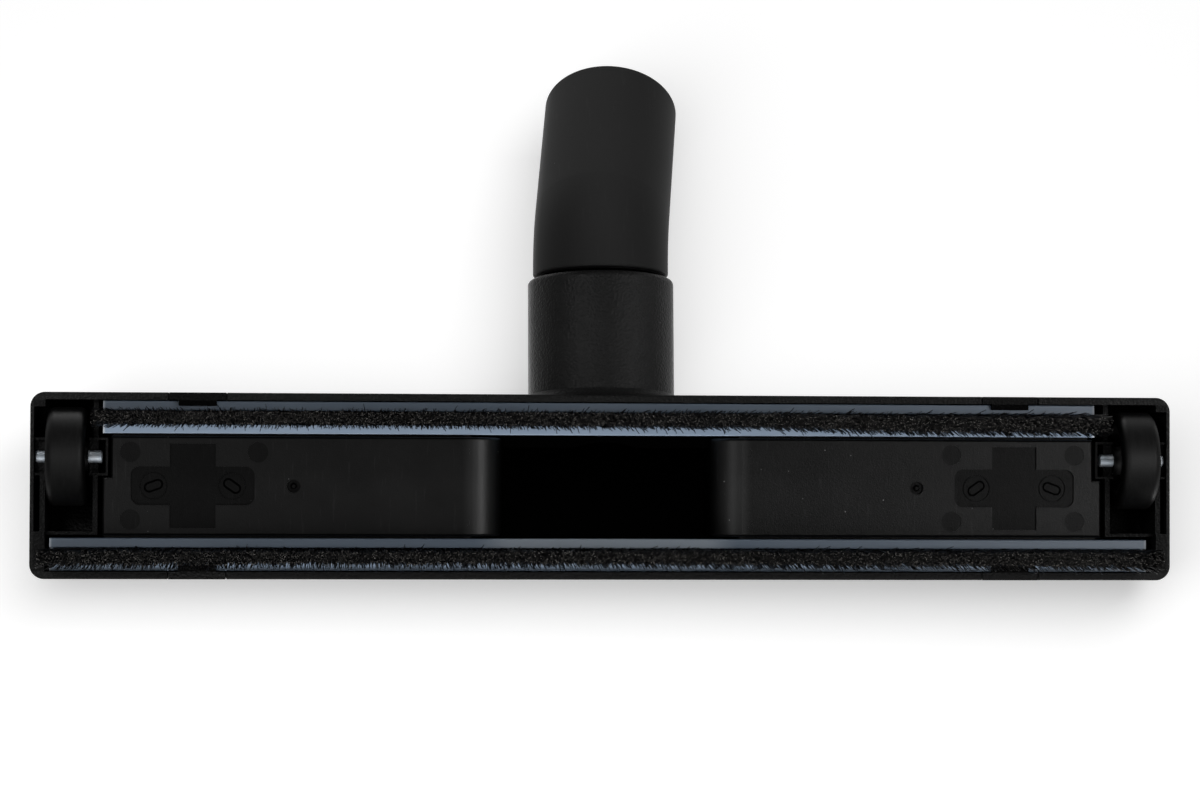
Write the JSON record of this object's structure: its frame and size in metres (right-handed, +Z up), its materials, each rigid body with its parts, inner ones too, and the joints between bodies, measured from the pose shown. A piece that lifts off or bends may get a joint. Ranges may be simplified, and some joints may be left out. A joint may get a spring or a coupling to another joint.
{
  "type": "vacuum floor nozzle",
  "caption": "Wide suction floor nozzle with brush strips in snap latches, small end wheels, a central suction throat and a swivelling elbow with a wand socket.",
  "frame": {"origin": "on the floor under the middle of the head", "axes": "+Z up from the floor, +X along the head's width, -Y towards the front wall, +Y towards the neck"},
  "size_m": [0.355, 0.1658, 0.0946],
  "materials": {
    "head_plastic": "fine grained moulding",
    "sole_plastic": "satin moulding",
    "elbow_plastic": "smooth satin moulding",
    "strip_plastic": "smooth bluish grey extrusion",
    "bristle": "stiff black filament",
    "tyre_rubber": "matte",
    "hub_plastic": "matte",
    "pin_steel": "bright zinc",
    "seal_rubber": "matte"
  },
  "bodies": {
    "head": {"top_shell": "head_plastic", "sole_plate": "sole_plastic", "rear_strip_carrier": "strip_plastic", "rear_bristles": "bristle", "front_strip_carrier": "strip_plastic", "front_bristles": "bristle", "axle_left": "pin_steel", "axle_right": "pin_steel", "ring_half_upper": "elbow_plastic", "ring_half_lower": "elbow_plastic"},
    "elbow": {"swivel_elbow": "elbow_plastic", "swivel_seal_ring": "seal_rubber"},
    "wheel_left": {"wheel_hub_left": "hub_plastic", "wheel_tyre_left": "tyre_rubber"},
    "wheel_right": {"wheel_hub_right": "hub_plastic", "wheel_tyre_right": "tyre_rubber"},
    "latch_rear_left": {"strip_latch_rear_left": "head_plastic"},
    "latch_rear_right": {"strip_latch_rear_right": "head_plastic"},
    "latch_front_left": {"strip_latch_front_left": "head_plastic"},
    "latch_front_right": {"strip_latch_front_right": "head_plastic"}
  },
  "joints": [
    {"name": "elbow_swivel", "type": "hinge", "parent": "head", "child": "elbow", "pos_m": [0, 0.0658, 0.0414], "axis": [0, 0.9945, 0.1045], "continuous": true},
    {"name": "wheel_left_spin", "type": "hinge", "parent": "head", "child": "wheel_left", "pos_m": [0.16625, 0.0089, 0.0152], "axis": [1, 0, 0], "continuous": true},
    {"name": "wheel_right_spin", "type": "hinge", "parent": "head", "child": "wheel_right", "pos_m": [-0.16625, 0.0089, 0.0152], "axis": [1, 0, 0], "continuous": true},
    {"name": "latch_rear_left_flex", "type": "hinge", "parent": "head", "child": "latch_rear_left", "pos_m": [0.1265, 0.02755, 0.022], "axis": [1, 0, 0], "range_deg": [0, 10], "stiffness_Nm_per_rad": 0.05, "springref_deg": -2.86},
    {"name": "latch_rear_right_flex", "type": "hinge", "parent": "head", "child": "latch_rear_right", "pos_m": [-0.1265, 0.02755, 0.022], "axis": [1, 0, 0], "range_deg": [0, 10], "stiffness_Nm_per_rad": 0.05, "springref_deg": -2.86},
    {"name": "latch_front_left_flex", "type": "hinge", "parent": "head", "child": "latch_front_left", "pos_m": [0.1265, -0.02755, 0.022], "axis": [-1, 0, 0], "range_deg": [0, 10], "stiffness_Nm_per_rad": 0.05, "springref_deg": -2.86},
    {"name": "latch_front_right_flex", "type": "hinge", "parent": "head", "child": "latch_front_right", "pos_m": [-0.1265, -0.02755, 0.022], "axis": [-1, 0, 0], "range_deg": [0, 10], "stiffness_Nm_per_rad": 0.05, "springref_deg": -2.86}
  ]
}
